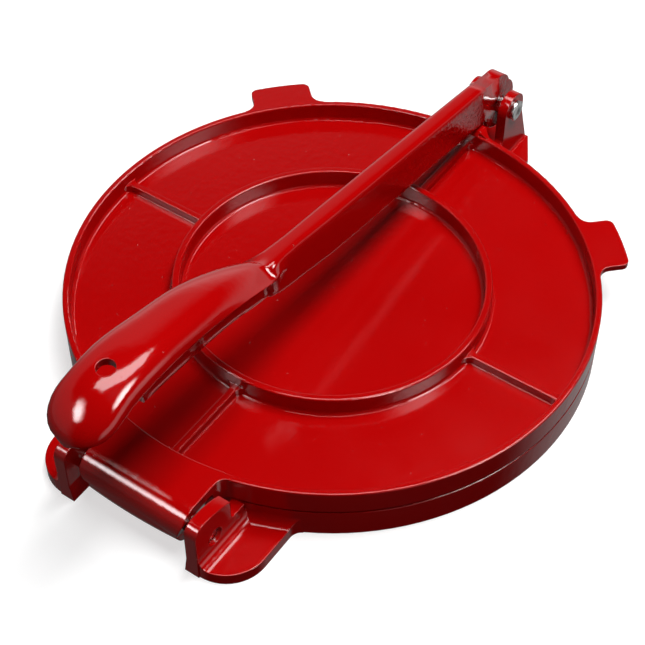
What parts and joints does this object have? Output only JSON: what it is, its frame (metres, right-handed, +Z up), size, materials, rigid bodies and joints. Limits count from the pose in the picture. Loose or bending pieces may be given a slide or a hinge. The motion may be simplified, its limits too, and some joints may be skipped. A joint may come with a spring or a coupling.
{
  "type": "tortilla press",
  "caption": "Round hinged tortilla press of coated cast aluminium, with ribbed press plates and a long lever whose shell handle ends in a hanging hole.",
  "frame": {"origin": "on the rest plane, in the middle of the closed press's length and width; the plates' axis is 6.3 mm behind it", "axes": "+Z up, X along the hinge and pivot pins, +Y from the front hinge towards the lever's pivot"},
  "size_m": [0.205, 0.2794, 0.0892],
  "materials": {
    "red_coat": "glossy deep red powder coat with a fine orange peel, over cast aluminium",
    "pin_steel": "bright zinc plate"
  },
  "bodies": {
    "base": {"base": "red_coat", "hinge_pin": "pin_steel", "lever_pin": "pin_steel"},
    "top_plate": {"top_plate": "red_coat"},
    "lever": {"lever": "red_coat"}
  },
  "joints": [
    {"name": "lever_pivot", "type": "hinge", "parent": "base", "child": "lever", "pos_m": [0, 0.1264, 0.0264], "axis": [-1, 0, 0], "range_deg": [0, 170]},
    {"name": "plate_hinge", "type": "hinge", "parent": "base", "child": "top_plate", "pos_m": [0, -0.1087, 0.0126], "axis": [1, 0, 0], "range_deg": [0, 180]}
  ],
  "couplings": [
    {"joint": "plate_hinge", "follows": "lever_pivot", "ratio": 0.055}
  ]
}
